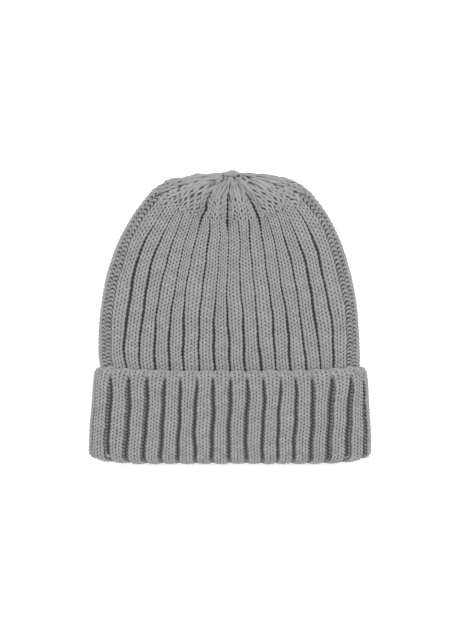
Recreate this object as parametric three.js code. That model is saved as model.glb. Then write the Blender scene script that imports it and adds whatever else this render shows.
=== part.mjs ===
// A cuffed rib-knit beanie lying flat, as it is put down on a table.
// Lengths are in millimetres. +X is across the hat, +Y runs from the mouth to the gathered top, +Z is up.
// The origin is on the table, under the middle of the hat's outline.
//
// The hat is a knitted tube in 2 x 2 rib, drawn together at its top and turned up once at its mouth.
// crown: the tube's wall from the fold to the gathered top, hollow and open at the mouth.
// cuff:  the turned-up band and the fold that it hangs from, which also closes over the crown's hem.
import * as THREE from "three";

// A table's rows as objects: its first row names the columns.
function table([columns, ...rows]) {
  return rows.map((row) => Object.fromEntries(columns.map((column, i) => [column, row[i]])));
}

// Knit and wall
const RIBS = 34; // raised ribs round the whole tube
const FRONT_RIBS = 16; // whole ribs that show from above; one more rounds each side fold
const MIDDLE = FRONT_RIBS / 2; // the groove on the centre line
const WALL = 4.6; // one layer of rib knit, from crest to crest
const LAYER_GAP = 0.8; // air between the cuff and the crown inside it
const RIB_STEPS = [0, 0.22, 0.78]; // places across one rib, from its groove: groove, shoulder, shoulder
const HOLLOW_STEPS = [0.5]; // the smooth inside of the wall has one point under each rib

// The flattened tube's section: a broad crowned top, a flat underside and rounded side folds
const TOP_POWER = 2.8; // of the superellipse above the side folds
const UNDERSIDE_FLAT = 0.84; // share of the half width that lies flat on the table
const FOLD_HEIGHT = 0.46; // height of the side folds, as a share of the hat's thickness
const OUTERMOST = 0.985; // no groove on top lies further out than this share of the half width

// The cuff, from its edge down to the fold, as sections of its outer face. y is taken at the middle, and
// edgeRise lifts the line by that much at the side folds, later for a higher risePower.
const CUFF_SECTIONS = table([
  [     "y", "halfWidth", "centreX", "edgeRise", "risePower", "high", "low", "groove"],
  [     -42,       103.6,       0.5,        2.6,           4,   29.4,     0,        1],
  [     -49,       104.2,       0.5,        2.8,           5,   29.8,     0,      2.2],
  [     -66,       105.1,       0.3,        3.2,           6,     30,     0,      2.2],
  [     -88,       106.4,       0.1,        3.8,           8,     30,     0,      2.2],
  [ -104.85,       107.1,       0.1,        4.5,           9,   28.8,     0,      2.2],
]);
const CUFF_PITCH = 0.1233; // groove spacing, as a share of the half width
const CUFF_LEAN = 0.02; // the ribs lean sideways by this share of the half width from the edge to the fold
const FOLD_DEPTH = 5.55; // how far the fold reaches past the crown's hem
const FOLD_STEPS = [180, 135, 90, 45, 0]; // degrees round the fold, ending on the cuff's outer face
const EDGE_TOP = 2.0; // the cuff's edge stands this far above its first section
const EDGE_ROUNDING = 1.3; // how far the edge is rounded off on each face
const SHELF_GAP = 0.5; // air between the crown's hem and the fold
const CORNER_GAP = 1.6; // the hem draws back from the fold by this much more at the side folds
const LEAVES_CUFF = 2.6; // the crown keeps the cuff's inner outline until this far above the first section

// The crown above the cuff, one row for each chosen knitted course, counted from the cuff's edge.
// The course runs from edgeY at the side folds down to middleY at the centre line, in a curve that bowPower
// bends. pleat replaces groove where a groove runs on into the gathered top as a deep fold.
const CROWN_SECTIONS = table([
  ["course", "edgeY", "middleY", "halfWidth", "centreX", "bowPower", "high", "low", "groove", "pleat"],
  [       2,   -31.5,       -34,        99.6,      -0.4,          1,   24.4,   4.6,      2.2,     2.2],
  [       8,   -14.5,     -17.7,        99.3,      -0.8,          1,     24,     1,      2.2,     2.2],
  [      16,    10.7,       4.4,          97,      -0.8,          1,   23.8,     0,      2.2,     2.2],
  [      24,    36.4,      26.6,        91.9,      -0.8,          1,   23.6,     0,      2.2,     2.2],
  [      32,    63.2,      48.5,        82.1,      -0.2,        0.9,   22.8,     0,        2,     2.4],
  [      38,    83.2,      64.3,        70.4,       0.3,        0.8,   21.2,     0,      1.2,     2.8],
  [      43,    99.4,      76.8,        56.3,       0.4,       0.65,   19.2,   0.2,      0.6,     2.8],
  [      47,   106.6,      86.6,        41.2,       0.8,       0.55,     17,   0.8,      0.4,       2],
  [      49,   108.4,      92.3,          31,         1,        0.5,   15.6,   1.4,      0.4,     1.4],
  [      51,     109,      98.3,        20.5,       1.2,        0.5,     14,   2.2,      0.3,     0.8],
  [      53,   109.8,       104,          11,       1.4,        0.5,   11.8,   3.6,      0.2,     0.2],
  [      54,   110.3,     107.5,           6,       1.5,        0.5,   10.4,   4.8,        0,       0],
]);
const CROWN_PITCH = 0.1155; // groove spacing, as a share of the half width
const LAST_HOLLOW_COURSE = 51; // above it the gathered top is solid knit
const PLEATED_GROOVES = [5, 8, 11, 22, 25, 28]; // the grooves that run on into the gathered top as folds
const TOP_POLE = new THREE.Vector3(1.5, 110.4, 7.6); // the tip of the gathered top
const HOLLOW_POLE = new THREE.Vector3(1.3, 104.0, 7.9); // the end of the hollow below it

// The grey wool-blend yarn
const YARN_GREY = 0x9a9a9a;
const YARN_ROUGHNESS = 0.95;

// Where a place round the tube lies across the hat. Places count grooves: 0 to 16 from left to right on top,
// 17 to 33 from right to left underneath, with a side rib between 16 and 17 and between 33 and 34.
// across runs from -1 to 1, and lift from 0 at the side folds to 1 at the top or at the flat underside.
function placeAcross(section, place) {
  const turn = ((place % RIBS) + RIBS) % RIBS;
  const onTop = turn <= FRONT_RIBS;
  const underneath = turn >= FRONT_RIBS + 1 && turn <= RIBS - 1;
  if (onTop || underneath) {
    const fromMiddle = onTop ? turn - MIDDLE : RIBS - 1 - MIDDLE - turn;
    const straight = section.pitch * fromMiddle - section.lean;
    const across = THREE.MathUtils.clamp(straight, -OUTERMOST, OUTERMOST);
    return { across, lift: onTop ? topLift(across) : -undersideLift(across) };
  }
  // A side rib turns round the fold, from its top groove to the groove under it.
  const right = turn < RIBS / 2 + 1;
  const share = right ? turn - FRONT_RIBS : RIBS - turn;
  const groove = placeAcross(section, right ? FRONT_RIBS : 0).across;
  const side = Math.sign(groove);
  const reach = Math.abs(groove);
  const fold = Math.pow(2 * share - 1, 2);
  if (share < 0.5) {
    const angle = Math.acos(Math.pow(reach, TOP_POWER / 2)) * fold;
    const across = side * Math.pow(Math.cos(angle), 2 / TOP_POWER);
    return { across, lift: Math.pow(Math.sin(angle), 2 / TOP_POWER) };
  }
  const beyond = Math.max(0, (reach - UNDERSIDE_FLAT) / (1 - UNDERSIDE_FLAT));
  const angle = Math.acos(beyond) * fold;
  const across = side * (UNDERSIDE_FLAT + (1 - UNDERSIDE_FLAT) * Math.cos(angle));
  return { across, lift: -Math.sin(angle) };
}

function topLift(across) {
  return Math.pow(1 - Math.pow(Math.abs(across), TOP_POWER), 1 / TOP_POWER);
}

function undersideLift(across) {
  const beyond = Math.max(0, (Math.abs(across) - UNDERSIDE_FLAT) / (1 - UNDERSIDE_FLAT));
  return Math.sqrt(1 - beyond * beyond);
}

// A point of a section, at a place round the tube and at a depth below the section's outer face.
function pointAt(section, place, depth) {
  const { across, lift } = placeAcross(section, place);
  const edgeY = section.edgeY - depth * section.outY;
  const rise = 1 - Math.pow(1 - Math.pow(Math.abs(across), section.risePower), section.bowPower);
  const foldZ = THREE.MathUtils.lerp(section.low, section.high, FOLD_HEIGHT);
  const reach = lift > 0 ? section.high - depth - foldZ : foldZ - section.low - depth;
  return new THREE.Vector3(
    section.centreX + (section.halfWidth - depth * section.outX) * across,
    section.middleY + (edgeY - section.middleY) * rise,
    foldZ + reach * lift,
  );
}

// The crown's rows with the columns that they share with the cuff's, and the outline's outward direction.
function crownSections() {
  return CROWN_SECTIONS.map((row, i, rows) => {
    const before = rows[Math.max(0, i - 1)];
    const after = rows[Math.min(rows.length - 1, i + 1)];
    const outward = new THREE.Vector2(after.edgeY - before.edgeY, before.halfWidth - after.halfWidth);
    outward.normalize();
    return { ...row, risePower: 2, pitch: CROWN_PITCH, lean: 0, outX: outward.x, outY: outward.y };
  });
}

// The cuff's rows in the crown's terms.
function cuffSections() {
  const first = CUFF_SECTIONS[0].y;
  const last = CUFF_SECTIONS.at(-1).y;
  return CUFF_SECTIONS.map((row) => ({
    ...row,
    middleY: row.y,
    edgeY: row.y + row.edgeRise,
    bowPower: 1,
    pleat: row.groove,
    pitch: CUFF_PITCH,
    lean: (CUFF_LEAN * (first - row.y)) / (first - last),
    outX: 1,
    outY: 0,
  }));
}

// One layer of a section, inside the cuff: the crown's outer face lies here.
function insideCuff(section) {
  const layer = WALL + LAYER_GAP;
  return {
    ...section,
    halfWidth: section.halfWidth - layer,
    high: section.high - layer,
    low: section.low + layer,
  };
}

// A ring of points round a section. placePoint turns a place, and how far a groove dips there, into a point.
function ring(section, steps, placePoint) {
  const points = [];
  for (let rib = 0; rib < RIBS; rib++) {
    const groove = PLEATED_GROOVES.includes(rib) ? section.pleat : section.groove;
    for (const step of steps) points.push(placePoint(rib + step, step === 0 ? groove : 0));
  }
  return points;
}

function ribbedRing(section) {
  return ring(section, RIB_STEPS, (place, dip) => pointAt(section, place, dip));
}

function smoothRing(section, steps, depth) {
  return ring(section, steps, (place) => pointAt(section, place, depth));
}

// A closed solid from rings of points, joined in order. Poles close its two ends; without them, the last ring
// joins back to the first. Neighbouring rings may differ in length, and then the shorter one's steps fan out.
function solidFromRings(rings, firstPole, lastPole) {
  const loop = !firstPole;
  const all = loop ? rings : [[firstPole], ...rings, [lastPole]];
  const starts = all.map((_, r) => all.slice(0, r).reduce((sum, points) => sum + points.length, 0));
  const index = [];
  const joinRings = (a, b) => {
    const [countA, countB] = [all[a].length, all[b].length];
    const steps = Math.max(countA, countB);
    const at = (r, count, step) => starts[r] + (count === 1 ? 0 : Math.floor((step * count) / steps) % count);
    for (let step = 0; step < steps; step++) {
      const [a0, a1] = [at(a, countA, step), at(a, countA, step + 1)];
      const [b0, b1] = [at(b, countB, step), at(b, countB, step + 1)];
      if (a0 !== a1) index.push(a0, a1, b1);
      if (b0 !== b1) index.push(a0, b1, b0);
    }
  };
  for (let r = 0; r + 1 < all.length; r++) joinRings(r, r + 1);
  if (loop) joinRings(all.length - 1, 0);
  const positions = all.flat().flatMap((point) => point.toArray());
  const geometry = new THREE.BufferGeometry();
  geometry.setAttribute("position", new THREE.Float32BufferAttribute(positions, 3));
  geometry.setIndex(index);
  geometry.computeVertexNormals();
  return geometry;
}

// The crown: up its outer face from the hem to the gathered top, and its hollow.
function crownGeometry() {
  const [atFold, ...covered] = cuffSections().map(insideCuff).reverse();
  const mouth = covered.at(-1);
  const hem = [
    { ...atFold, edgeY: atFold.edgeY + CORNER_GAP },
    ...covered,
    { ...mouth, middleY: mouth.middleY + LEAVES_CUFF, edgeY: mouth.edgeY + LEAVES_CUFF },
  ];
  const above = crownSections();
  const outside = [...hem, ...above].map(ribbedRing);
  const hollow = [...hem, ...above.filter((section) => section.course <= LAST_HOLLOW_COURSE)]
    .map((section) => smoothRing(section, HOLLOW_STEPS, WALL))
    .reverse();
  return solidFromRings([...hollow, ...outside], HOLLOW_POLE, TOP_POLE);
}

// The cuff: down between itself and the crown, round the fold, and up its outer face to the edge.
function cuffGeometry() {
  const sections = cuffSections();
  const edge = sections[0];
  const fold = sections.at(-1);
  const crownsInside = WALL * 2 + LAYER_GAP;
  const edgeRing = (depth) =>
    smoothRing(edge, RIB_STEPS, depth).map((point) => point.add(new THREE.Vector3(0, EDGE_TOP, 0)));
  const foldRing = (degrees) =>
    ring(fold, RIB_STEPS, (place, dip) => {
      const turn = THREE.MathUtils.degToRad(degrees);
      const depth = crownsInside / 2 - (crownsInside / 2 - dip) * Math.cos(turn);
      const reach = SHELF_GAP + (FOLD_DEPTH - SHELF_GAP - dip) * Math.sin(turn);
      return pointAt(fold, place, depth).sub(new THREE.Vector3(0, reach, 0));
    });
  const shelfDrop = new THREE.Vector3(0, SHELF_GAP, 0);
  const shelf = smoothRing(fold, RIB_STEPS, WALL).map((point) => point.sub(shelfDrop));
  const band = sections.slice(0, -1);
  return solidFromRings([
    ...band.map((section) => smoothRing(section, RIB_STEPS, WALL)),
    shelf,
    ...FOLD_STEPS.map(foldRing),
    ...band.map(ribbedRing).reverse(),
    edgeRing(EDGE_ROUNDING),
    edgeRing(WALL - EDGE_ROUNDING),
  ]);
}

function knitPiece(name, geometry) {
  const yarn = new THREE.MeshStandardMaterial({ color: YARN_GREY, roughness: YARN_ROUGHNESS, metalness: 0 });
  yarn.name = name + "_knit";
  const piece = new THREE.Mesh(geometry, yarn);
  piece.name = name;
  return piece;
}

const beanie = new THREE.Group();
beanie.name = "cuffed_beanie";
beanie.add(knitPiece("crown", crownGeometry()));
beanie.add(knitPiece("cuff", cuffGeometry()));

export default beanie;
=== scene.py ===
# %% [markdown]
# # A cuffed beanie, knitted stitch by stitch
# The hat is a tube of 2 x 2 rib knitting, gathered at its top and turned up at its mouth, lying flat on a
# pale table and seen from straight above. This lesson wraps two knitting charts, one for the crown and one
# for the cuff, round the flattened tube, and lays a real little strand of yarn on every mark of the chart.

import math

import bpy
import numpy as np
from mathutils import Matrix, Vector


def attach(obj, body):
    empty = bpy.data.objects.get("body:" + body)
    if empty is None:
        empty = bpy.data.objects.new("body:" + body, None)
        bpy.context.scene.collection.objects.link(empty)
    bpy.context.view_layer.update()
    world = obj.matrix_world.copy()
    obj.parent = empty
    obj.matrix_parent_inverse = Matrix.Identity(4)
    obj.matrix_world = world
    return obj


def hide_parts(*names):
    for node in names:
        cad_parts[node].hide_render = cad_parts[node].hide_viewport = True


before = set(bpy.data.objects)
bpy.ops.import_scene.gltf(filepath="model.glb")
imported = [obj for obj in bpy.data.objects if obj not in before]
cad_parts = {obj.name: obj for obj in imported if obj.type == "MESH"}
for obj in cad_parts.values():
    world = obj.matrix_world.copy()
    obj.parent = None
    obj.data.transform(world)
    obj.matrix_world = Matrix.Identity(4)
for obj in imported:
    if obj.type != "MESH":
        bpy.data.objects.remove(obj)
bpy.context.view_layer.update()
MM = 0.001

# %% [markdown]
# ## The shape as tables
# A flat hat is easy to describe by its sections: how wide, how high, and where along the hat each one lies.
# Each row below is one section, and the numbers in between are worked out with a smooth curve. The sizes
# are in millimetres and nearly the same ones that the CAD model was built from.


# %% Section tables
def table(columns, *rows):
    """The rows as one array for each named column."""
    return {name: np.array([row[i] for row in rows], float) for i, name in enumerate(columns)}


CROWN = table(
    ("course", "edge_y", "middle_y", "half_width", "centre_x", "bow", "rise",
     "high", "low", "groove", "pleat"),
    (-24.9, -98.7, -104.8, 101.7, 0.1, 1.00, 9, 23.4, 5.4, 0.0, 0.0),
    (-18.5, -84.2, -88.0, 101.0, 0.1, 1.00, 8, 24.6, 5.4, 0.0, 0.0),
    (-10.1, -62.8, -66.0, 99.7, 0.3, 1.00, 6, 24.6, 5.4, 1.5, 1.5),
    (-3.6, -46.2, -49.0, 98.8, 0.3, 1.00, 4, 24.4, 5.4, 2.4, 2.4),
    (0, -36.8, -39.4, 98.4, 0.1, 1.00, 3, 24.2, 5.2, 2.8, 2.8),
    (2, -31.5, -34.0, 98.9, -0.4, 1.00, 2, 24.4, 4.6, 2.8, 2.8),
    (8, -14.5, -17.7, 98.9, -0.8, 1.00, 2, 24.0, 1.0, 2.8, 2.8),
    (16, 10.7, 4.4, 96.8, -0.8, 1.00, 2, 23.8, 0.0, 2.8, 2.8),
    (24, 36.4, 26.6, 91.7, -0.8, 1.00, 2, 23.6, 0.0, 2.8, 2.8),
    (32, 63.2, 48.5, 81.9, -0.2, 0.90, 2, 22.8, 0.0, 2.6, 2.8),
    (38, 83.2, 64.3, 70.2, 0.3, 0.80, 2, 21.2, 0.0, 1.5, 3.0),
    (43, 99.4, 76.8, 56.1, 0.4, 0.65, 2, 19.2, 0.2, 0.5, 3.0),
    (47, 106.6, 86.6, 41.2, 0.8, 0.55, 2, 17.0, 0.8, 0.3, 2.2),
    (49, 108.4, 92.3, 31.0, 1.0, 0.50, 2, 15.6, 1.4, 0.2, 1.6),
    (51, 109.2, 98.3, 21.0, 1.2, 0.50, 2, 14.0, 2.2, 0.1, 1.0),
    (53, 109.9, 104.0, 11.0, 1.4, 0.50, 2, 11.8, 3.6, 0.0, 0.3),
    (54, 110.3, 108.2, 4.0, 1.6, 0.50, 2, 10.0, 5.2, 0.0, 0.0),
)
CUFF = table(
    ("y", "half_width", "centre_x", "edge_rise", "rise", "high"),
    (-104.85, 106.8, 0.0, 3.9, 9, 28.8),
    (-88, 106.0, -0.2, 3.6, 8, 30.0),
    (-66, 104.4, 0.0, 3.2, 6, 30.0),
    (-49, 103.3, 0.1, 2.8, 5, 29.8),
    (-42, 102.5, 0.0, 2.6, 4, 29.4),
)
RIBS = 34
LAST_TOP_GROOVE = 16
# Where each groove on top lies, from the left side fold to the right, as a share of the half width. The
# crown has a row for its lower part, its upper part, its gathered top and the very top, the cuff one for its
# fold and one for its edge.
CROWN_GROOVES = (
    (-0.931, -0.796, -0.683, -0.573, -0.463, -0.354, -0.237, -0.121, 0.0,
     0.119, 0.236, 0.353, 0.463, 0.576, 0.686, 0.795, 0.931),
    (-0.931, -0.781, -0.658, -0.544, -0.431, -0.342, -0.211, -0.100, -0.018,
     0.094, 0.198, 0.319, 0.424, 0.533, 0.646, 0.774, 0.934),
    (-0.931, -0.796, -0.683, -0.573, -0.463, -0.360, -0.255, -0.150, -0.045,
     0.090, 0.222, 0.356, 0.463, 0.576, 0.686, 0.795, 0.931),
    (-0.931, -0.840, -0.760, -0.680, -0.600, -0.520, -0.373, -0.226, -0.080,
     0.075, 0.230, 0.385, 0.480, 0.580, 0.686, 0.795, 0.931),
)
CUFF_GROOVES = (
    (-0.985, -0.865, -0.731, -0.605, -0.488, -0.366, -0.250, -0.124, -0.006,
     0.113, 0.230, 0.331, 0.452, 0.569, 0.687, 0.825, 0.960),
    (-0.985, -0.874, -0.731, -0.598, -0.471, -0.356, -0.244, -0.123, -0.001,
     0.124, 0.245, 0.369, 0.481, 0.605, 0.747, 0.887, 0.985),
)
PLEATED_GROOVES = (5, 8, 11, 22, 25, 28)  # three on top and three on the underside
print(len(CROWN["course"]), "crown sections,", len(CUFF["y"]), "cuff sections")

# %% [markdown]
# ## From a place in the knitting to a point in space
# A place counts ribs round the tube: 0 to 16 across the top from left to right, 17 to 33 back along the
# underside, with one rib turning round each side fold. The functions here turn a place, a course and a
# depth below the surface into a point. NumPy does it for whole grids at once.


# %% Places to points
TOP_POWER = 2.8
UNDERSIDE_FLAT = 0.84
FOLD_HEIGHT = 0.46
FOLD_IN, SWELL = 5.0, 1.8  # the gathered top's folds, in millimetres
PLEAT_INNER, PLEAT_OUTER = 0.35, (0.45, 1.5, 1.2)  # how wide a pleat's two slopes are, in ribs


def smooth_step(low, high, x):
    """From 0 at low to 1 at high, without corners."""
    t = np.clip((x - low) / (high - low), 0, 1)
    return t * t * (3 - 2 * t)


def unit_vectors(vectors):
    return vectors / np.maximum(np.linalg.norm(vectors, axis=-1), 1e-12)[..., None]


def between(course, start, end):
    """From 0 to 1 over the first pair of courses, and back to 0 over the second."""
    return smooth_step(*start, course) * (1 - smooth_step(*end, course))


def smooth_column(x, xs, ys):
    """A value between the rows of a table, on a smooth curve through them."""
    slopes = np.gradient(ys, xs)
    x = np.clip(x, xs[0], xs[-1])
    i = np.clip(np.searchsorted(xs, x, side="right") - 1, 0, len(xs) - 2)
    h = xs[i + 1] - xs[i]
    t = (x - xs[i]) / h
    rising = t * t * (3 - 2 * t)
    bend = h * (t * (1 - t) ** 2 * slopes[i] - t * t * (1 - t) * slopes[i + 1])
    return ys[i] * (1 - rising) + ys[i + 1] * rising + bend


def across_and_lift(place, groove_rows, weights):
    """How far across (-1 to 1) and how far up from the side folds (-1 to 1) each place lies."""
    turn = np.mod(place, RIBS)
    indices = np.arange(LAST_TOP_GROOVE + 1)
    under = turn > LAST_TOP_GROOVE + 0.5
    index = np.where(under, RIBS - 1 - turn, turn)
    across = sum(smooth_column(index, indices, np.array(row)) * w for row, w in zip(groove_rows, weights))
    magnitude = np.minimum(np.abs(across), 0.985)
    beyond = np.clip((magnitude - UNDERSIDE_FLAT) / (1 - UNDERSIDE_FLAT), 0, 1)
    lift = np.where(under, -np.sqrt(1 - beyond**2), (1 - magnitude**TOP_POWER) ** (1 / TOP_POWER))
    # The two side ribs turn round the folds.
    right_side = (turn > LAST_TOP_GROOVE) & (turn < LAST_TOP_GROOVE + 1)
    left_side = turn > RIBS - 1
    share = np.where(right_side, turn - LAST_TOP_GROOVE, RIBS - turn)
    right_reach = sum(row[-1] * w for row, w in zip(groove_rows, weights))
    reach = np.where(right_side, right_reach, -groove_rows[0][0])
    fold = np.abs(2 * share - 1)
    upper = np.arccos(reach ** (TOP_POWER / 2)) * fold
    lower = np.arccos(np.clip((reach - UNDERSIDE_FLAT) / (1 - UNDERSIDE_FLAT), 0, 1)) * fold
    out_above = np.cos(upper) ** (2 / TOP_POWER)
    out_below = UNDERSIDE_FLAT + (1 - UNDERSIDE_FLAT) * np.cos(lower)
    side = right_side | left_side
    above = share < 0.5
    sign = np.where(right_side, 1.0, -1.0)
    across = np.where(side, sign * np.where(above, out_above, out_below), across)
    lift = np.where(side, np.where(above, np.sin(upper) ** (2 / TOP_POWER), -np.sin(lower)), lift)
    return across, lift


def section_point(across, lift, row, inset=0.0):
    """A point of a section, or of the section drawn smaller by an inset."""
    half_width = row["half_width"] - inset
    rise = 1 - np.clip(1 - np.abs(across) ** row["rise"], 0, 1) ** row["bow"]
    fold_z = row["low"] + (row["high"] - row["low"]) * FOLD_HEIGHT
    reach = np.where(lift > 0, row["high"] - fold_z, fold_z - row["low"]) - inset
    x = row["centre_x"] + half_width * across
    y = row["middle_y"] + (row["edge_y"] - row["middle_y"]) * rise
    return np.stack(np.broadcast_arrays(x, y, fold_z + reach * lift), axis=-1)


def below_surface(surface, place, course, depth):
    """A point straight below a surface, which is any function of place and course."""
    place, course, depth = (np.asarray(v, float) for v in np.broadcast_arrays(place, course, depth))
    along = surface(place + 0.01, course) - surface(place - 0.01, course)
    up = surface(place, course + 0.02) - surface(place, course - 0.02)
    return surface(place, course) - depth[..., None] * unit_vectors(np.cross(along, up))


def fold_depth_at(place, course):
    """How far the gathered top folds in at its pleats, and how far it swells between them."""
    turn = np.mod(place, RIBS)
    index = np.where(turn > LAST_TOP_GROOVE + 0.5, RIBS - 1 - turn, turn)
    away = [index - 8, index - 11, 5 - index]  # distance outwards from each of the three pleats
    slopes = [np.where(d > 0, d / outer, d / PLEAT_INNER) for d, outer in zip(away, PLEAT_OUTER)]
    inwards = sum(np.exp(-(slope**2)) for slope in slopes)
    nearest = np.min(np.abs(away), axis=0)
    outwards = SWELL * smooth_step(0.5, 1.5, nearest) * (1 - smooth_step(3, 5, nearest))
    strength = FOLD_IN * np.where(turn > LAST_TOP_GROOVE + 0.5, 0.5, 1.0)
    outwards = outwards * (turn < LAST_TOP_GROOVE + 0.5)
    return between(course, (32, 42), (49, 52.5)) * (strength * np.minimum(inwards, 1) - outwards)


def crown_surface(place, course):
    row = {name: smooth_column(course, CROWN["course"], values) for name, values in CROWN.items()}
    raised, gathered, topmost = (smooth_step(*reach, course) for reach in ((0, 26), (36, 44), (44, 50)))
    weights = (1 - raised, raised - gathered, gathered - topmost, topmost)
    return section_point(*across_and_lift(place, CROWN_GROOVES, weights), row)


def crown_point(place, course, depth):
    """A point of the crown, some millimetres below its outer face."""
    return below_surface(crown_surface, place, course, depth + fold_depth_at(place, course))


print("top of the crown's middle:", crown_point(8.0, 16.0, 0.0).round(1), "mm")

# %% [markdown]
# ## The cuff's path
# The cuff's knitting comes out of the mouth along the crown's inside, turns round the bottom fold, climbs
# its own outer face and rolls over the cast-on edge. One number, counted in courses, runs along this whole
# way.

# %% Cuff path
CUFF_ROW = 2.63  # height of one course on the cuff
INSIDE_COURSES = 8  # courses that show inside the mouth
FOLD_COURSES = 6.0
HALF_BUNDLE = 5.0  # half of the crown's wall, the cuff's wall and the air between them
FOLD_REACH = 5.5  # how far the bottom fold bulges towards the wearer
FOLD_Y, EDGE_Y = -104.85, -42.0
EDGE_RADIUS = 2.3  # of the cast-on edge, where the cuff's wall turns back
CORNER_COURSES, CORNER_INSET = 1.5, 5.5  # the rounding of the two corners of the cast-on edge
OUTER_COURSES = (EDGE_Y - FOLD_Y) / CUFF_ROW
EDGE_COURSES = math.pi * EDGE_RADIUS / CUFF_ROW
FOLD_START = INSIDE_COURSES
FACE_START = FOLD_START + FOLD_COURSES
EDGE_START = FACE_START + OUTER_COURSES
CUFF_END = EDGE_START + EDGE_COURSES


def cuff_surface(place, course):
    inside = np.clip(FOLD_START - course, 0, None)
    fold_turn = np.clip((course - FOLD_START) / FOLD_COURSES, 0, 1) * math.pi
    edge_turn = np.clip((course - EDGE_START) / EDGE_COURSES, 0, 1) * math.pi
    y = FOLD_Y + np.clip(course - FACE_START, 0, OUTER_COURSES) * CUFF_ROW
    row = {name: smooth_column(y, CUFF["y"], values) for name, values in CUFF.items()}
    near_edge = np.clip((course - EDGE_START + CORNER_COURSES) / (CORNER_COURSES + EDGE_COURSES / 2), 0, 1)
    half_width = row["half_width"] - CORNER_INSET * (1 - np.sqrt(1 - near_edge**2))
    ends = {"middle_y": y, "edge_y": y + row["edge_rise"]}
    shape = {**row, **ends, "half_width": half_width, "bow": 1.0, "low": 0.0}
    inset = HALF_BUNDLE * (1 + np.cos(fold_turn)) + EDGE_RADIUS * (1 - np.cos(edge_turn))
    raised = smooth_step(FOLD_Y, EDGE_Y, y)
    point = section_point(*across_and_lift(place, CUFF_GROOVES, (1 - raised, raised)), shape, inset)
    point[..., 1] += inside * CUFF_ROW + EDGE_RADIUS * np.sin(edge_turn) - FOLD_REACH * np.sin(fold_turn)
    return point


def cuff_point(place, course, depth):
    """The same for the cuff."""
    return below_surface(cuff_surface, place, course, depth)


print("cuff path:", round(CUFF_END, 1), "courses")

# %% [markdown]
# ## The ribs as a relief
# A 2 x 2 rib is two knitted columns that stand up, then two that sink back between them. On the crown the
# ribs have closed up, so the sunken pair shows only as a thin dark groove. On the cuff, which is pulled
# wider, it shows as a valley with small bumps in it. So the relief is one groove shape with its own width
# and depth for each place, and a slow sideways drift keeps the grooves from looking ruled.

# %% Groove shapes
WALL = 4.6
GROOVE_HALF = 0.078  # half of a crown groove's width, as a share of a rib
GROOVE_CHANCE = 0.24  # how unevenly the narrow grooves are open
WIDE_GROOVES = (0, 16, 17, 33)  # those beside the side folds, where the crown is stretched open
WIDE_HALF, WIDE_DEPTH = 0.24, 1.3
WIDE_END = (41.0, 44.0)  # the courses over which they close
PRESSED, GATHERED, FLATTENED = 0.55, 0.35, 0.6  # how far grooves close where ribs bulge, meet or flatten
PLEAT_HALF, PLEAT_WIDER = 0.12, 0.1  # a pleat's extra half width, and what the very top adds
CUFF_HALF, CUFF_DEPTH = 0.145, 3.2  # a cuff valley of middling width
CUFF_CREST = 0.9  # the cuff's upper ribs stand this much higher than the CAD wall's
BAND_COURSES = 1.0  # the cast-on band, which has no grooves


def drift(place, course, seed, reach):
    """How far the knitting has slipped sideways, in ribs: a slow wave of its own for every groove."""
    phase = np.random.default_rng(seed).uniform(0, 2 * math.pi, (2, RIBS))

    def wave(groove):
        index = np.mod(groove, RIBS).astype(int)
        slow, quick = np.sin(course * 0.27 + phase[0][index]), np.sin(course * 0.7 + phase[1][index])
        return reach * (slow + 0.45 * quick)

    base = np.floor(place)
    blend = smooth_step(0, 1, place - base)
    return wave(base) * (1 - blend) + wave(base + 1) * blend


def from_groove(place):
    """The nearest groove, and how far away it is in ribs."""
    groove = np.round(place)
    return np.mod(groove, RIBS), np.abs(place - groove)


def crown_groove(groove, course):
    """Half width and depth of the crown's grooves at a course."""
    wide = np.isin(groove, WIDE_GROOVES) * (1 - smooth_step(*WIDE_END, course))
    # No two narrow grooves are equally open, nor is one the same all the way up.
    own_wave = np.random.default_rng(13).uniform(0, 2 * math.pi, RIBS)[np.asarray(groove).astype(int)]
    narrow = GROOVE_HALF * (0.92 + GROOVE_CHANCE * np.sin(course * 0.14 + own_wave))
    half = narrow + (WIDE_HALF - narrow) * wide
    plain = smooth_column(course, CROWN["course"], CROWN["groove"])
    pleat = smooth_column(course, CROWN["course"], CROWN["pleat"])
    depth = np.where(np.isin(groove, PLEATED_GROOVES), pleat, plain)
    # The middle ribs bulge and press their grooves together half way up.
    from_centre = np.abs(np.where(groove > LAST_TOP_GROOVE, RIBS - 1 - groove, groove) - 8)
    pressed = (1 - smooth_step(2, 7, from_centre)) * between(course, (6, 22), (30, 38))
    pleated = np.isin(groove, PLEATED_GROOVES) * between(course, (36, 42), (50, 53))
    narrowing = PRESSED * pressed + GATHERED * smooth_step(34, 42, course) * (1 - wide)
    # Further out the ribs flatten into plain knitting well below the first decrease.
    flattened = np.isin(from_centre, (4, 5, 6, 7)) * smooth_step(30, 37, course) * (1 - wide)
    half = half * (1 - narrowing) * (1 - FLATTENED * flattened)
    half = half + (PLEAT_HALF + PLEAT_WIDER * smooth_step(46, 50, course)) * pleated
    return half, depth * (1 - 0.3 * pressed) * (1 - FLATTENED * flattened) + (WIDE_DEPTH - depth) * wide


# How far each of the cuff's valleys on top has opened, from left to right.
CUFF_OPENING = np.array((
    0.4, 1.2, 1.15, 1.1, 1.0, 0.85, 0.85, 1.0, 1.0, 1.0, 0.9, 0.75, 0.85, 1.05, 1.3, 1.3, 1.15,
))
VALLEY_END = (FACE_START - 3.2, FACE_START + 0.2)  # the courses over which they sink in above the fold
LEFT_SIDE_SHARE = 0.35  # the left side groove has all but closed
BAND_CLOSES = 0.75  # how far a valley narrows towards the cast-on band
FOLD_FILL = 0.04  # what is left of a valley's depth on the fold
PINCH, PINCH_AT, PINCH_REACH = 0.3, FOLD_START + 0.58 * FOLD_COURSES, 1.2  # in millimetres, then in courses
FOLD_THINNER = 0.6


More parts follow.
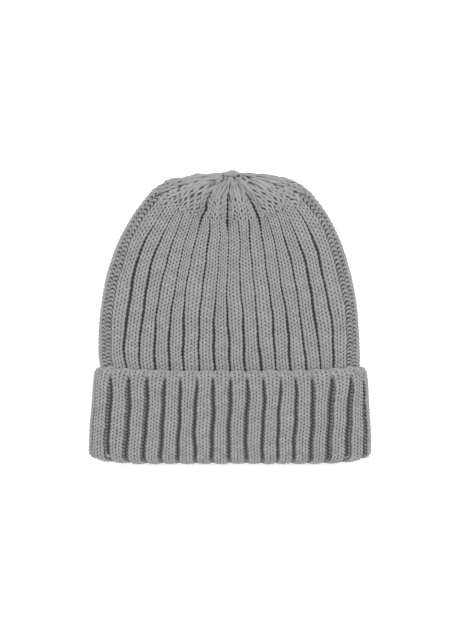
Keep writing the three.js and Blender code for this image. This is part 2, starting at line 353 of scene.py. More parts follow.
def fold_pinch(course):
    """Where a valley makes a small notch in the fold."""
    return np.exp(-(((course - PINCH_AT) / PINCH_REACH) ** 2))


def fold_room(course):
    """How much thinner the wall is at the fold, so that its two layers don't meet inside it."""
    return FOLD_THINNER * (1 - smooth_step(FACE_START, FACE_START + 3, course))


def cuff_groove(groove, course):
    """The same for the cuff, whose valleys end at the cast-on band and at the fold, with a pinch on it."""
    past_band = course - (EDGE_START - BAND_COURSES)
    depth = CUFF_DEPTH * (1 - smooth_step(-0.8, 1.0, past_band))
    sunk = smooth_step(*VALLEY_END, course)
    closing = 1 - BAND_CLOSES * smooth_step(-4, 1, past_band)
    top_groove = np.where(groove > LAST_TOP_GROOVE, RIBS - 1 - groove, groove).astype(int)
    depth = depth * np.where(top_groove == 0, LEFT_SIDE_SHARE, 1.0)
    half = CUFF_HALF * CUFF_OPENING[top_groove] * closing
    return half, depth * (FOLD_FILL + (1 - FOLD_FILL) * sunk) + PINCH * fold_pinch(course)


def relief(place, course, groove_of, softness, share, sag, seed):
    """How far the surface lies below the ribs' highest line, in millimetres."""
    groove, distance = from_groove(place)
    half, depth = groove_of(groove, course)
    dip = 1 - smooth_step(0.35 * half, half + softness, distance)
    height = np.random.default_rng(seed).uniform(0, 0.35, RIBS)[np.floor(np.mod(place, RIBS)).astype(int)]
    return share * depth * dip + sag * (1 - 2 * distance) ** 2 + height * smooth_step(0, 0.2, distance)


CHARTS = {
    "crown": (crown_point, crown_groove, 11, 0.042),
    "cuff": (cuff_point, cuff_groove, 12, 0.038),
}


def knit_point(chart, place, course, below, softness=0.1, share=1.0, sag=0.7, deepest=WALL - 0.3):
    """A point of the crown's or the cuff's ribbed surface, some millimetres below it."""
    point_of, groove_of, seed, reach = CHARTS[chart]
    place, course = np.broadcast_arrays(np.asarray(place, float), np.asarray(course, float))
    lowered = relief(place, course, groove_of, softness, share, sag, seed) + below
    if chart == "cuff":
        on_top = np.mod(place, RIBS) < LAST_TOP_GROOVE + 0.5
        crest = CUFF_CREST * on_top * smooth_step(FACE_START, FACE_START + 5, course)
        lowered = lowered - crest * smooth_step(0.05, 0.25, from_groove(place)[1])
        deepest = deepest - fold_room(course)
    return point_of(place + drift(place, course, seed, reach), course, np.minimum(lowered, deepest))


print("crown crest and groove:", knit_point("crown", [8.5, 8.0], [16, 16], 0).round(1).tolist())

# %% [markdown]
# ## The wall behind the stitches
# Real stitches are looped through each other and hide what is behind them. Here a closed wall carries them:
# it follows the same ribs a little below the yarn, so no light leaks through, and its inner side is what is
# seen through the open mouth. Its outer side shows only in the gaps between stitches and is painted dark
# grey there, as painted shade. It is a grid of points rolled into a tube.

# %% Closed tubes from grids
BEHIND = 1.55  # the wall lies this far below the tops of the stitches


def object_of(name, data):
    """A mesh, lamp or camera as an object of the scene."""
    made = bpy.data.objects.new(name, data)
    bpy.context.collection.objects.link(made)
    return made


def store(mesh, name, values):
    """Keep one number, or one vector, for each point of a mesh."""
    values = np.asarray(values, np.float32)
    kind, field = ("FLOAT", "value") if values.ndim == 1 else ("FLOAT_VECTOR", "vector")
    mesh.attributes.new(name, kind, "POINT").data.foreach_set(field, values.ravel())


def grid_quads(rows, columns, join_ends, join_sides):
    """The corners of every face of a grid of points, whose ends or sides may be joined into a ring."""
    ring = np.arange(rows if join_ends else rows - 1)[:, None]
    column = np.arange(columns if join_sides else columns - 1)[None]
    here, there = ring * columns, (ring + 1) % rows * columns
    after = (column + 1) % columns
    return np.stack([here + column, here + after, there + after, there + column], -1).reshape(-1, 4)


def tube(name, rings, painted_shade_strips, join_ends=False, poles=None):
    """A closed mesh from rings of points. The strips of faces behind stitches get the first material, a dark
    grey painted shade.
    """
    rings = np.asarray(rings) * MM
    rows, columns = rings.shape[:2]
    faces = grid_quads(rows, columns, join_ends, True).tolist()
    points = rings.reshape(-1, 3).tolist()
    if poles is not None:
        first, last = rows * columns, rows * columns + 1
        points += (np.asarray(poles) * MM).tolist()
        offset = (rows - 1) * columns
        around = [(k, (k + 1) % columns) for k in range(columns)]
        faces += [(first, b, a) for a, b in around]
        faces += [(last, offset + a, offset + b) for a, b in around]
    mesh = bpy.data.meshes.new(name)
    mesh.from_pydata(points, [], faces)
    mesh.polygons.foreach_set("use_smooth", [True] * len(faces))
    strip = np.arange(len(faces)) // columns
    behind = (strip >= painted_shade_strips[0]) & (strip < painted_shade_strips[1])
    mesh.polygons.foreach_set("material_index", np.where(behind, 0, 1))
    mesh.update()
    print(name, len(faces), "faces")
    return object_of(name, mesh)


def rib_columns(shares):
    """Places all the way round, at the same shares of every rib."""
    return (np.arange(RIBS)[:, None] + np.asarray(shares)[None]).ravel()


crown_places = rib_columns((0, 0.035, 0.07, 0.13, 0.26, 0.5, 0.74, 0.87, 0.93, 0.965))
outer_courses = np.r_[np.linspace(53.9, 42, 18), np.arange(41, -2, -1), np.linspace(-3, -24.9, 8)]
inner_courses = np.r_[np.linspace(-24.9, -18, 4), np.linspace(-16, 50, 26)]


def inner_depth(place, course):
    """The ribs' other side: what is a groove outside stands up inside."""
    distance = from_groove(place)[1]
    return WALL - BEHIND * (1 - smooth_step(-19, -16, course)) - 0.9 * (2 * distance) ** 2


crown_rings = [knit_point("crown", crown_places, course, BEHIND) for course in outer_courses]
crown_rings += [
    crown_point(crown_places, course, inner_depth(crown_places, course)) for course in inner_courses
]
crown_wall = tube("crown_wall", crown_rings[::-1], (len(inner_courses), 10**6),
                  poles=((1.3, 104.0, 7.9), (1.6, 109.6, 7.6)))

cuff_places = rib_columns((0, 0.06, 0.11, 0.16, 0.22, 0.36, 0.5, 0.64, 0.78, 0.84, 0.89, 0.94))
outer_courses = np.r_[np.linspace(FOLD_START, FACE_START, 9), np.linspace(FACE_START + 1, CUFF_END, 27)]
inner_courses = np.r_[np.linspace(EDGE_START - 0.5, FACE_START, 10), np.linspace(12, FOLD_START, 4)]
cuff_rings = [knit_point("cuff", cuff_places, course, BEHIND) for course in outer_courses]
cuff_rings += [cuff_point(cuff_places, course, WALL - fold_room(course)) for course in inner_courses]
cuff_wall = tube("cuff_wall", cuff_rings, (0, len(outer_courses)), join_ends=True)

# %% [markdown]
# ## One stitch of yarn
# A knitted stitch shows as a V: two legs of yarn that come out of the stitch below, lie on the surface and
# dive under the stitch above. Only this much is modelled, because the rest of the loop never shows. A purl
# stitch shows the loop's other side, a small arch. Each is a short tube of five or six sides, light enough
# to repeat thousands of times, and its UV map runs along and round the yarn for the yarn's twist.

# %% Stitch shapes
WALE_MM, ROW_MM, RIB_MM = 5.3, 2.7, 12.0  # nominal column, course and rib on the flat charts


def yarn_unit(name, paths, radii, thickness, sides=6):
    """Short tubes of yarn along the given paths, as one object to be repeated or kept."""
    points, faces, unwrapped = [], [], []
    for path in paths:
        path = np.asarray(path, float)
        tangent = unit_vectors(np.gradient(path, axis=0))
        side = unit_vectors(np.cross(tangent, (0, 0, 1.0)))
        up = np.cross(side, tangent)
        along = np.concatenate([[0], np.cumsum(np.linalg.norm(np.diff(path, axis=0), axis=1))])
        start = len(points)
        angle = np.arange(sides) * 2 * math.pi / sides
        for centre, across, above, radius in zip(path, side, up, radii):
            outline = np.outer(np.cos(angle), across) + thickness * np.outer(np.sin(angle), above)
            points += (centre + radius * outline).tolist()
        for i in range(len(path) - 1):
            for k in range(sides):
                a, b = start + i * sides + k, start + i * sides + (k + 1) % sides
                faces.append((a, b, b + sides, a + sides))
                unwrapped += [(along[i], k / sides), (along[i], (k + 1) / sides),
                              (along[i + 1], (k + 1) / sides), (along[i + 1], k / sides)]
        last = start + (len(path) - 1) * sides
        faces += [tuple(range(start + sides - 1, start - 1, -1)), tuple(range(last, last + sides))]
        unwrapped += [(0.0, 0.5)] * (2 * sides)
    mesh = bpy.data.meshes.new(name)
    mesh.from_pydata(points, [], faces)
    strand = mesh.uv_layers.new(name="strand")
    strand.data.foreach_set("uv", np.array(unwrapped, np.float32).ravel())
    mesh.polygons.foreach_set("use_smooth", [True] * len(faces))
    # A closed tube has a positive volume when its faces point outwards.
    mesh.calc_loop_triangles()
    corners = np.array([[points[v] for v in t.vertices] for t in mesh.loop_triangles])
    if np.einsum("ij,ij->i", corners[:, 0], np.cross(corners[:, 1], corners[:, 2])).sum() < 0:
        mesh.flip_normals()
    print(name, len(faces), "faces")
    return object_of(name, mesh)


STRAND = ("wale", "row", "up", "radius")
LEG = table(
    STRAND,
    (0.03, -0.46, -1.2, 0.52),
    (0.14, -0.08, -0.1, 0.96),
    (0.265, 0.30, 0.30, 1.09),
    (0.36, 0.66, 0.0, 0.96),
    (0.43, 1.00, -1.2, 0.52),
)
LONG_LEG = table(
    STRAND,
    (0.05, -0.46, -1.0, 0.60),
    (0.16, -0.14, 0.1, 1.08),
    (0.25, 0.25, 0.8, 1.30),
    (0.30, 0.66, 0.3, 1.12),
    (0.28, 1.02, -1.0, 0.60),
)


def strand_path(strand):
    """A strand's path in millimetres, from its table in wales and courses."""
    return np.stack([strand["wale"] * WALE_MM, strand["row"] * ROW_MM, strand["up"]], axis=1)


def two_legs(leg):
    """The right leg of a V, and its mirror image."""
    return strand_path(leg), strand_path(leg) * (-1, 1, 1)


knit_stitch = yarn_unit("knit_stitch", two_legs(LEG), LEG["radius"], 0.8)
long_stitch = yarn_unit("long_stitch", two_legs(LONG_LEG), LONG_LEG["radius"], 1.0)
PURL = table(
    STRAND,
    (-0.42, -0.45, -0.8, 0.65),
    (-0.26, 0.10, 0.0, 0.95),
    (0.0, 0.34, 0.35, 1.05),
    (0.26, 0.10, 0.0, 0.95),
    (0.42, -0.45, -0.8, 0.65),
)
purl_stitch = yarn_unit("purl_stitch", (strand_path(PURL),), PURL["radius"], 0.8, sides=5)

CAST_ON = table(
    ("x", "y", "up", "radius"),
    (-1.7, 3.3, -1.2, 0.60),
    (-1.2, 1.7, 0.6, 0.90),
    (-0.1, -0.2, 1.0, 1.00),
    (0.9, -2.0, 0.5, 0.90),
    (1.4, -3.3, -1.2, 0.60),
)
cast_on_path = np.stack([CAST_ON["x"], CAST_ON["y"], CAST_ON["up"]], axis=1)
cast_on_strand = yarn_unit("cast_on_strand", (cast_on_path,), CAST_ON["radius"], 0.9)

# %% [markdown]
# ## The knitting charts
# A knitter's chart is a grid: a column for each wale, a row for each course. The chart here is a mesh of
# loose points, one for each stitch, that also remember how wide and high their stitch is and which way up
# it lies. The cuff's stitches lie upside down, because the cuff is the same knitting turned up. Towards the
# gathered top, columns are knitted together in pairs and get fewer, and the last rows are drawn out long.

# %% Chart points
# From one pleat or side fold to the next, once round the hat.
SEGMENTS = [(5, 8), (8, 11), (11, 16), (16, 17), (17, 22), (22, 25), (25, 28), (28, 33), (33, 34), (34, 39)]
FIRST_DECREASE = 42
GATHERS = table(
    ("course", "height", "wale"),
    (42.0, 1.0, 5.4),
    (43.05, 1.15, 5.7),
    (44.2, 1.25, 6.0),
    (45.4, 1.3, 6.3),
    (46.65, 1.4, 6.6),
    (48.0, 1.6, 7.0),
    (49.5, 2.8, 7.6),
    (52.2, 1.8, 7.4),
)
LONG_ROWS = 2  # the last rows are drawn-out stitches


def rib_wales(groove_of, course):
    """Left edge and width of the two wales of every rib at a course, in ribs."""
    groove = np.arange(RIBS)
    half = groove_of(groove, np.full(RIBS, float(course)))[0]
    left = groove + half
    width = (groove + 1 - np.roll(half, -1) - left) / 2
    return np.concatenate([left, left + width]), np.concatenate([width, width])


def gathered_wales(row):
    """The same for a course of the gathered top: as many wales as fit between one pleat and the next."""
    lefts, widths = [], []
    course = GATHERS["course"][row]
    groove = np.arange(RIBS)
    half = crown_groove(groove, np.full(RIBS, course))[0] * np.isin(groove, PLEATED_GROOVES)
    half += WIDE_HALF * (1 - smooth_step(*WIDE_END, course)) * np.isin(groove, WIDE_GROOVES)
    for start, end in SEGMENTS:
        line = crown_point(np.linspace(start, end, 40), course, 0.0)
        length = np.linalg.norm(np.diff(line, axis=0), axis=1).sum()
        count = max(1, round(length / GATHERS["wale"][row]))
        left = start + half[start % RIBS]
        width = (end - half[end % RIBS] - left) / count
        lefts += [left + width * k for k in range(count)]
        widths += [width] * count
    return np.array(lefts), np.array(widths)


def chart_rows(courses, wales_of, heights):
    """Every stitch's place, course, width in ribs, height in courses, millimetres down, and lean."""
    stitches = []
    for course, height in zip(courses, heights):
        left, width = wales_of(course)
        same = np.ones_like(left)
        columns = [left + width / 2, course * same, width, height * same, 0 * same, 0 * same]
        stitches.append(np.stack(columns, 1))
    stitches = np.concatenate(stitches)
    stitches[:, 0] = np.mod(stitches[:, 0], RIBS)
    return stitches


def even_rows(groove_of, courses):
    """The chart of an even rib: every stitch is one course high."""
    return chart_rows(courses, lambda course: rib_wales(groove_of, course), np.ones(len(courses)))


def chart_object(name, stitches, turned):
    """The chart as loose points that carry each stitch's size and turn."""
    mesh = bpy.data.meshes.new(name)
    flat = np.stack([stitches[:, 0] * RIB_MM, stitches[:, 1] * ROW_MM, -stitches[:, 4]], 1)
    mesh.from_pydata(flat.tolist(), [], [])
    size = np.stack([stitches[:, 2] * RIB_MM / WALE_MM, stitches[:, 3], 0 * stitches[:, 0] + 1], 1)
    store(mesh, "stitch_size", size)
    store(mesh, "turn", stitches[:, 5] + (math.pi if turned else 0.0))
    return object_of(name, mesh)


gathered_rows = [
    chart_rows([GATHERS["course"][i]], lambda course: gathered_wales(i), [GATHERS["height"][i]])
    for i in range(len(GATHERS["course"]))
]
slips = np.random.default_rng(51)
for row in gathered_rows:
    row[:, 0] += slips.uniform(-0.03, 0.03, len(row))
    row[:, 1] += slips.uniform(-0.1, 0.1, len(row))
    row[:, 4] += slips.uniform(-0.25, 0.25, len(row))
crown_stitches = even_rows(crown_groove, np.arange(-1, FIRST_DECREASE))
gathered_stitches = np.concatenate(gathered_rows[:-LONG_ROWS])
long_stitches = np.concatenate(gathered_rows[-LONG_ROWS:])
cuff_stitches = even_rows(cuff_groove, np.arange(0.5, CUFF_END - 0.2))
for label, chart in (("even", crown_stitches), ("gathered", gathered_stitches),
                     ("long", long_stitches), ("cuff", cuff_stitches)):
    print(label, "stitches:", len(chart))

# %% [markdown]
# ## Purl bumps in the valleys
# In the cuff's valleys the two purl columns are squeezed together, so their bumps lie in a zigzag. On the
# crown they show only beside the side folds, where the rib is pulled open.

# %% Purl charts
ZIGZAG, PURL_WIDE, PURL_HIGH = 0.06, 0.16, 1.1  # shares of a rib, and courses
PURL_DOWN, PURL_LEAN = 0.8, 0.3  # millimetres, and radians
cuff_purls = np.array([
    (groove + side * ZIGZAG * opening, course + offset, PURL_WIDE * opening,
     PURL_HIGH, PURL_DOWN, side * PURL_LEAN)
    for groove, opening in enumerate(np.concatenate([CUFF_OPENING, CUFF_OPENING[::-1]]))
    for side, offset in ((-1, 0.0), (1, 0.5))
    for course in np.arange(FOLD_START - 1.0, EDGE_START - BAND_COURSES - 0.9)
])
sinking = smooth_step(*VALLEY_END, cuff_purls[:, 1])
cuff_purls[:, 4] *= np.maximum(sinking, 0.2 * fold_pinch(cuff_purls[:, 1]))
crown_purls = np.array([
    (groove + shift, course + offset, width, 1.0, 0.0, 0.0)
    for groove, inward in ((0, 1), (16, -1), (17, 1), (33, -1))
    for shift, offset, width in ((0.05 * inward, 0.0, 0.34), (-0.17 * inward, 0.5, 0.2))
    for course in range(-1, 44)
])
# The last bumps shrink with the groove that they lie in.
crown_purls[:, 2] *= 1 - 0.6 * smooth_step(*WIDE_END, crown_purls[:, 1])
cast_on = np.array([
    (j + shift, EDGE_START - 0.7 + lower, WALE_MM / RIB_MM, 1.0, 0.0, 0.0)
    for j in range(RIBS)
    for shift, lower in ((-0.055, 0.0), (0.11, 0.35))
])
for purls in (cuff_purls, crown_purls, cast_on):
    purls[:, 0] = np.mod(purls[:, 0], RIBS)
print(len(cuff_purls), "and", len(crown_purls), "purl bumps")

# %% [markdown]
# ## Guide surfaces
# A guide is the ribbed surface itself, with the chart as its UV map. A point of the flat chart then finds
# its place on the hat by looking up the same UV, and the direction to stand up in by looking up a normal
# that was worked out beforehand. The guides are only used while building and are deleted afterwards.

# %% Guide meshes
MARGIN = 1.5  # ribs repeated at both ends, so that no stitch falls off the chart
GUIDE_BELOW = 1.0  # how far the yarn's middle lies below the ribs' highest line
SPAN = {"crown": (-3.0, 54.0), "cuff": (-1.5, CUFF_END + 1.2)}  # first and last course of each chart
LIMITS = {"crown": (-30, 53.95), "cuff": (0, CUFF_END)}  # the courses that the surfaces are made for
SOFTNESS = {"crown": 0.12, "cuff": 0.08}
PER_RIB, PER_COURSE = 14, 2  # how fine a guide is
SINKS, LEANS = 0.85, 0.4  # how much of a groove's depth, and of its slope, the yarn follows


def guide(name, chart):
    first, last = SPAN[chart]
    places = np.linspace(-MARGIN, RIBS + MARGIN, int((RIBS + 2 * MARGIN) * PER_RIB) + 1)
    courses = np.linspace(first, last, int((last - first) * PER_COURSE) + 1)
    place, course = np.meshgrid(places, courses)
    inside = np.clip(course, *LIMITS[chart])

    def surface(places, courses, share):
        courses = np.clip(courses, *LIMITS[chart])
        return knit_point(chart, places, courses, GUIDE_BELOW, softness=SOFTNESS[chart], share=share)

    points = surface(place, inside, SINKS)
    step = 0.02
    along = surface(place + step, inside, LEANS) - surface(place - step, inside, LEANS)
    up = surface(place, inside + step, LEANS) - surface(place, inside - step, LEANS)
    normal = unit_vectors(np.cross(along, up))
    quads = grid_quads(*place.shape, False, False)
    mesh = bpy.data.meshes.new(name)
    mesh.from_pydata((points.reshape(-1, 3) * MM).tolist(), [], quads.tolist())
    u, v = (place + MARGIN) / (RIBS + 2 * MARGIN), (course - first) / (last - first)
    flat = np.stack([u, v], -1).reshape(-1, 2)
    mesh.uv_layers.new(name="chart").data.foreach_set("uv", flat[quads.ravel()].astype(np.float32).ravel())
    store(mesh, "wall_normal", normal)
    print(name, len(quads), "faces")
    return object_of(name, mesh)


crown_guide = guide("crown_guide", "crown")
cuff_guide = guide("cuff_guide", "cuff")

# %% [markdown]
# ## Wool-blend yarn
# The yarn is spun from wool blended with acrylic, dyed one even grey, and the hat is knitted on a machine
# and left unpressed. Such a surface is matt, with a faint bright edge from the loose fibres that stand up
# from it: that is high roughness with a little sheen. Every stitch catches the light a little differently,
# so each gets a tone of its own, and the yarn's two plies wind round it as fine slanting ridges.

# %% Materials


def linear(hex_colour):
    """An sRGB hex colour as the linear numbers that Blender's shaders use."""
    parts = [int(hex_colour[i:i + 2], 16) / 255 for i in (1, 3, 5)]
    return tuple(p / 12.92 if p <= 0.04045 else ((p + 0.055) / 1.055) ** 2.4 for p in parts) + (1.0,)


def add_node(tree, kind, inputs=None, **settings):
    """One node of a tree: its settings, then a value or a link for each numbered or named input."""
    made = tree.nodes.new(kind)
    for name, value in settings.items():
        setattr(made, name, value)
    for key, value in (inputs or {}).items():
        if isinstance(value, bpy.types.NodeSocket):
            tree.links.new(value, made.inputs[key])
        else:
            made.inputs[key].default_value = value
    return made


def maths(tree, operation, *values):
    """What a maths node makes of its values and links."""
    return add_node(tree, "ShaderNodeMath", dict(enumerate(values)), operation=operation).outputs[0]


YARN_GREY = "#7a7a7a"
MELANGE_MM = 2.2  # size of the yarn's slightly lighter and darker places
PLY_MM = 1.6  # length of one turn of the two plies
FIBRE_MM = 0.35  # loose fibres, drawn coarser than real ones so that they show


def knit_material(name, grey, stitched):
    """Matt wool-blend yarn: its tone, fibres and, on a stitch, the twist of its plies."""
    material = bpy.data.materials.new(name)
    material.use_nodes = True
    tree = material.node_tree
    tree.nodes.clear()
    place = add_node(tree, "ShaderNodeTexCoord").outputs["Object"]

    def noise(size_mm, detail):
        settings = {"Vector": place, "Scale": 1 / (size_mm * MM), "Detail": detail}
        return add_node(tree, "ShaderNodeTexNoise", settings).outputs["Fac"]

    tone = add_node(tree, "ShaderNodeMapRange", {
        "Value": noise(MELANGE_MM, 3.0),
        "From Min": 0.3,
        "From Max": 0.7,
        "To Min": 0.93,
        "To Max": 1.07,
    }).outputs["Result"]
    height = noise(FIBRE_MM, 2.0)
    if stitched:
        # Each stitch's own tone: random, and lowered as painted shade on the purl bumps.
        own = add_node(tree, "ShaderNodeAttribute", attribute_name="tone")
        tone = maths(tree, "MULTIPLY", tone, own.outputs["Fac"])
        strand = add_node(tree, "ShaderNodeUVMap", uv_map="strand")
        split = add_node(tree, "ShaderNodeSeparateXYZ", {0: strand.outputs["UV"]})
        turns = maths(tree, "MULTIPLY", split.outputs["X"], 2 * math.pi / PLY_MM)
        winding = maths(tree, "MULTIPLY_ADD", split.outputs["Y"], 4 * math.pi, turns)
        height = maths(tree, "MULTIPLY_ADD", maths(tree, "SINE", winding), 0.35, height)
    colour = add_node(tree, "ShaderNodeMix", {"Factor": 1.0, "A": linear(grey), "B": tone},
                      data_type="RGBA", blend_type="MULTIPLY")
    bump = add_node(tree, "ShaderNodeBump", {"Strength": 0.6, "Distance": 0.25 * MM, "Height": height})
    shader = add_node(tree, "ShaderNodeBsdfPrincipled", {
        "Base Color": colour.outputs["Result"],
        "Roughness": 0.95,
        "Specular IOR Level": 0.2,
        "Sheen Weight": 0.25,
        "Sheen Roughness": 0.5,
        "Normal": bump.outputs["Normal"],
    })
    add_node(tree, "ShaderNodeOutputMaterial", {"Surface": shader.outputs["BSDF"]})
    print(name, grey)
    return material


stitch_yarn = knit_material("grey_wool_blend_yarn", YARN_GREY, True)
# The wall's outer side between the stitches is painted dark grey: painted shade in the gaps between
# stitches.
painted_shade_ground = knit_material("painted_shade_between_stitches", "#303030", False)
inner_yarn = knit_material("grey_wool_blend_inner_face", "#808080", False)

# %% [markdown]
# ## Knitting by Geometry Nodes
# One tree knits every chart. It puts a stitch on each point of the flat chart, turned and sized as the
# point says with a little chance added, makes the copies real, and then moves every vertex to the hat by
# looking its flat place up in the guide's UV map. Bending the realized vertices, not the copies, lets each
# strand follow the curve of its rib. A tone is stored on each copy before it is made real, for the material
# to read: it differs at random, and on the purl bumps it is lowered as painted shade.

# %% The knitting tree


INPUTS = (
    ("Chart", "Geometry", None),
    ("Stitch", "Object", None),
    ("Guide", "Object", None),
    ("Turn Chance", "Float", 0.06),
    ("Size Chance", "Float", 0.07),
    # Tone is the middle of each stitch's tone; the purl bumps lower it as painted shade.
    ("Tone", "Float", 1.0),
    ("Tone Chance", "Float", 0.08),
    ("Seed", "Int", 1),
    ("Yarn", "Material", None),
)


def knitting_tree(name, span):
    first, last = span
    tree = bpy.data.node_groups.new(name, "GeometryNodeTree")
    for socket_name, kind, default in INPUTS:
        socket = tree.interface.new_socket(socket_name, in_out="INPUT", socket_type="NodeSocket" + kind)
        if default is not None:
            socket.default_value = default
    tree.interface.new_socket("Knitting", in_out="OUTPUT", socket_type="NodeSocketGeometry")
    given = add_node(tree, "NodeGroupInput").outputs
    stitch = add_node(tree, "GeometryNodeObjectInfo", {"Object": given["Stitch"]})
    wall = add_node(tree, "GeometryNodeObjectInfo", {"Object": given["Guide"]})

    def stored(name, data_type="FLOAT_VECTOR"):
        kind = "GeometryNodeInputNamedAttribute"
        return add_node(tree, kind, {"Name": name}, data_type=data_type).outputs[0]

    def scaled(vector, factor):
        settings = {0: vector, "Scale": factor}
        return add_node(tree, "ShaderNodeVectorMath", settings, operation="SCALE").outputs[0]

    def chance(size, seed_shift, middle):
        low, high = maths(tree, "SUBTRACT", middle, size), maths(tree, "ADD", middle, size)
        seed = maths(tree, "ADD", given["Seed"], float(seed_shift))
        settings = {2: low, 3: high, "Seed": seed}
        return add_node(tree, "FunctionNodeRandomValue", settings, data_type="FLOAT").outputs[1]

    turned = maths(tree, "ADD", stored("turn", "FLOAT"), chance(given["Turn Chance"], 0, 0.0))
    rotation = add_node(tree, "ShaderNodeCombineXYZ", {"Z": turned})
    sized = scaled(stored("stitch_size"), chance(given["Size Chance"], 1, 1.0))
    copies = add_node(tree, "GeometryNodeInstanceOnPoints", {
        "Points": given["Chart"],
        "Instance": stitch.outputs["Geometry"],
        "Rotation": rotation.outputs[0],
        "Scale": sized,
    })
    # Each copy's tone spreads at random round Tone, which the purl bumps lower as painted shade.
    toned = add_node(tree, "GeometryNodeStoreNamedAttribute", {
        "Geometry": copies.outputs[0],
        "Name": "tone",
        "Value": chance(given["Tone Chance"], 2, given["Tone"]),
    }, data_type="FLOAT", domain="INSTANCE")
    real = add_node(tree, "GeometryNodeRealizeInstances", {"Geometry": toned.outputs[0]})

    position = add_node(tree, "GeometryNodeInputPosition").outputs[0]
    place = add_node(tree, "ShaderNodeSeparateXYZ", {0: position}).outputs
    ribs_shown, courses_shown = RIBS + 2 * MARGIN, last - first
    u = maths(tree, "MULTIPLY_ADD", place["X"], 1 / (RIB_MM * ribs_shown), MARGIN / ribs_shown)
    v = maths(tree, "MULTIPLY_ADD", place["Y"], 1 / (ROW_MM * courses_shown), -first / courses_shown)
    uv = add_node(tree, "ShaderNodeCombineXYZ", {"X": u, "Y": v}).outputs[0]

    def looked_up(value):
        return add_node(tree, "GeometryNodeSampleUVSurface", {
            "Mesh": wall.outputs["Geometry"],
            "Value": value,
            "Source UV Map": stored("chart"),
            "Sample UV": uv,
        }, data_type="FLOAT_VECTOR").outputs[0]

    normal = looked_up(stored("wall_normal"))
    upright = add_node(tree, "ShaderNodeVectorMath", {0: normal}, operation="NORMALIZE").outputs[0]
    stands = scaled(upright, maths(tree, "MULTIPLY", place["Z"], MM))
    final = add_node(tree, "ShaderNodeVectorMath", {0: looked_up(position), 1: stands}, operation="ADD")
    moves = {"Geometry": real.outputs[0], "Position": final.outputs[0]}
    laid = add_node(tree, "GeometryNodeSetPosition", moves).outputs[0]
    dyed = add_node(tree, "GeometryNodeSetMaterial", {"Geometry": laid, "Material": given["Yarn"]})
    add_node(tree, "NodeGroupOutput", {0: dyed.outputs[0]})
    return tree


TREES = {chart: knitting_tree(chart + "_knitting", SPAN[chart]) for chart in ("crown", "cuff")}
GUIDES = {"crown": crown_guide, "cuff": cuff_guide}
print("trees:", [tree.name for tree in TREES.values()])

# %% [markdown]
# ## Knit every chart
# Each chart becomes one piece, and the crown and the cuff are cut into a front and a back so that no mesh
# gets too heavy. The modifier's inputs are set by their identifiers, the evaluated result is copied into a
# plain mesh, and the chart with its modifier is thrown away.

# %% Knit the pieces


def knit(name, chart, stitches, unit, turned, seed, **chances):
    """One finished piece: a chart, knitted with one kind of stitch."""
    laid = chart_object(name + "_chart", stitches, turned)
    knitting = laid.modifiers.new("knitting", "NODES")
    knitting.node_group = TREES[chart]
    values = {"Stitch": unit, "Guide": GUIDES[chart], "Seed": seed, "Yarn": stitch_yarn, **chances}
    for item in TREES[chart].interface.items_tree:
        if item.in_out == "INPUT" and item.name in values:
            knitting[item.identifier] = values[item.name]
    evaluated = laid.evaluated_get(bpy.context.evaluated_depsgraph_get())
    mesh = bpy.data.meshes.new_from_object(evaluated)
    mesh.name = name
    piece = object_of(name, mesh)
    bpy.data.objects.remove(laid)
    mesh.calc_loop_triangles()
    print(name, len(stitches), "stitches,", len(mesh.loop_triangles), "triangles")
    return piece


def half_of(stitches, front):
    on_front = stitches[:, 0] < RIBS / 2
    return stitches[on_front if front else ~on_front]


UNEVEN = {"Turn Chance": 0.09, "Size Chance": 0.1}  # the decreases pull the stitches about
PAINTED_VALLEY_SHADE = {"Tone": 0.58}  # painted shade: a darker tone on the cuff's purl bumps, because the real valleys are deeper than the wall allows here and lie in deeper shade
PULLED_WITH_PAINTED_SHADE = {"Turn Chance": 0.2, "Size Chance": 0.12, "Tone": 0.88}  # stretched open round the side folds; the lower tone is painted shade in the open grooves there
knitted = {
    "crown_knit": [
        knit("crown_front_stitches", "crown", half_of(crown_stitches, True), knit_stitch, False, 21),
        knit("crown_back_stitches", "crown", half_of(crown_stitches, False), knit_stitch, False, 22),
        knit("crown_gathered_stitches", "crown", gathered_stitches, knit_stitch, False, 25, **UNEVEN),
        knit("crown_purl_bumps", "crown", crown_purls, purl_stitch, False, 23, **PULLED_WITH_PAINTED_SHADE),
        knit("crown_long_stitches", "crown", long_stitches, long_stitch, False, 24, **UNEVEN),
    ],
    "cuff_knit": [
        knit("cuff_front_stitches", "cuff", half_of(cuff_stitches, True), knit_stitch, True, 31),
        knit("cuff_back_stitches", "cuff", half_of(cuff_stitches, False), knit_stitch, True, 32),
        knit("cuff_purl_bumps", "cuff", cuff_purls, purl_stitch, True, 33, **PAINTED_VALLEY_SHADE),
        knit("cast_on_strands", "cuff", cast_on, cast_on_strand, False, 34),
    ],
}
for helper in (crown_guide, cuff_guide, knit_stitch, long_stitch, purl_stitch, cast_on_strand):
    bpy.data.objects.remove(helper)

# %% [markdown]
# ## The drawn-up end
# The last stitches are threaded on one end of yarn and pulled tight, which leaves a small ribbed knob at
# the very top. A few thick strands side by side, bent over the top edge from front to back, look like it.
# They are tubes on arcs, so one call of the stitch helper makes them all.

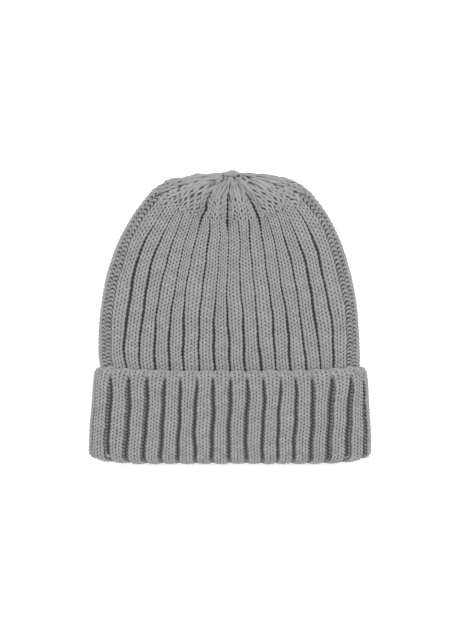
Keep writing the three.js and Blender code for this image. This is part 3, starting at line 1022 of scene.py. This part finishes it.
# %% Knob at the top
KNOB_X, KNOB_Y, KNOB_Z = 1.4, 107.9, 7.8
KNOB_STRANDS = ((-5.2, 1.2), (-3.6, 1.5), (-2.0, 1.8), (-0.5, 2.6),
                (1.2, 2.9), (3.0, 2.8), (4.6, 2.2), (6.3, 1.3))  # each one's x, and how far it reaches out
KNOB_RADII = np.array([0.5, 0.9, 1.05, 1.1, 1.1, 1.05, 0.9, 0.5])
bend = np.linspace(-0.22 * math.pi, 1.15 * math.pi, len(KNOB_RADII))
knob_paths = []
for x, reach in KNOB_STRANDS:
    lean = (x - KNOB_X) * 0.3
    knob_paths.append(np.stack([
        x - lean * (1 - np.sin(bend)) * 0.8,
        KNOB_Y + reach * np.sin(bend),
        KNOB_Z + 1.8 * np.cos(bend),
    ], axis=1) * MM)
knob = yarn_unit("drawn_up_end", knob_paths, KNOB_RADII * MM, 0.95)
knob.data.materials.append(stitch_yarn)
store(knob.data, "tone", np.ones(len(knob.data.vertices)))
knitted["crown_knit"].append(knob)

# %% [markdown]
# ## Hand the pieces to the frame
# Every piece rides on the one body, and the two walls stand for the two CAD solids, which then aren't shown.

# %% Ride and replace
for wall, node, slot_name in ((crown_wall, "crown", "crown_knit"), (cuff_wall, "cuff", "cuff_knit")):
    # The first material is painted shade on the wall's outer side, between the stitches.
    wall.data.materials.append(painted_shade_ground)
    wall.data.materials.append(inner_yarn)
    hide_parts(node)
    knitted[slot_name].append(wall)
for slot_name, pieces in knitted.items():
    for piece in pieces:
        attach(piece, "root")
print(sum(len(pieces) for pieces in knitted.values()), "pieces")

# %% [markdown]
# ## Table, light and camera
# The hat lies on a plain white table under a bright, even sky. One large soft lamp hangs high above it, a
# little towards its top, so that the cuff's edge and fold get a faint shadow. The camera looks straight
# down from 1.3 m with a long lens, as a product photographer would, and the frame is 468 mm high at the
# hat.

# %% Stage


def plain_white():
    """White laminate: matt, bright and even."""
    material = bpy.data.materials.new("white_laminate_table")
    material.use_nodes = True
    shader = material.node_tree.nodes["Principled BSDF"]
    shader.inputs["Base Color"].default_value = linear("#f0f0f0")
    shader.inputs["Roughness"].default_value = 0.7
    shader.inputs["Specular IOR Level"].default_value = 0.1
    return material


TABLE_HALF = 3.0
TABLE_BELOW = 0.5 * MM  # the yarn stands this much lower than the CAD model's underside
floor_mesh = bpy.data.meshes.new("table_top")
corners = [(x * TABLE_HALF, y * TABLE_HALF, -TABLE_BELOW) for x, y in ((-1, -1), (1, -1), (1, 1), (-1, 1))]
floor_mesh.from_pydata(corners, [], [(0, 1, 2, 3)])
floor_mesh.materials.append(plain_white())
floor = object_of("table_top", floor_mesh)

world = bpy.data.worlds.new("even_sky")
world.use_nodes = True
sky = world.node_tree.nodes["Background"].inputs
sky["Color"].default_value = (1.0, 1.0, 1.0, 1.0)
sky["Strength"].default_value = 1.0
bpy.context.scene.world = world
bpy.context.scene.view_settings.view_transform = "Standard"

lamp = object_of("soft_lamp", bpy.data.lights.new("soft_lamp", "AREA"))
lamp.data.shape = "DISK"
lamp.data.size = 1.4
lamp.data.energy = 42.0
lamp.location = (0.1, 0.26, 1.8)
lamp.rotation_mode = "QUATERNION"
lamp.rotation_quaternion = (Vector((0, 0, 0)) - lamp.location).to_track_quat("-Z", "Y")

CAMERA_HEIGHT = 1.313
SHARP_HEIGHT = 0.013  # about half way up the hat, where the frame is FRAME_HIGH metres high
FRAME_HIGH = 0.4681
SENSOR = 36.0
camera = object_of("camera", bpy.data.cameras.new("camera"))
camera.location = (0.00187, 0.0054, CAMERA_HEIGHT)
camera.data.sensor_width = SENSOR
camera.data.lens = SENSOR * (CAMERA_HEIGHT - SHARP_HEIGHT) / FRAME_HIGH
camera.data.clip_end = 20.0
bpy.context.scene.camera = camera
print("lens:", round(camera.data.lens, 1), "mm")
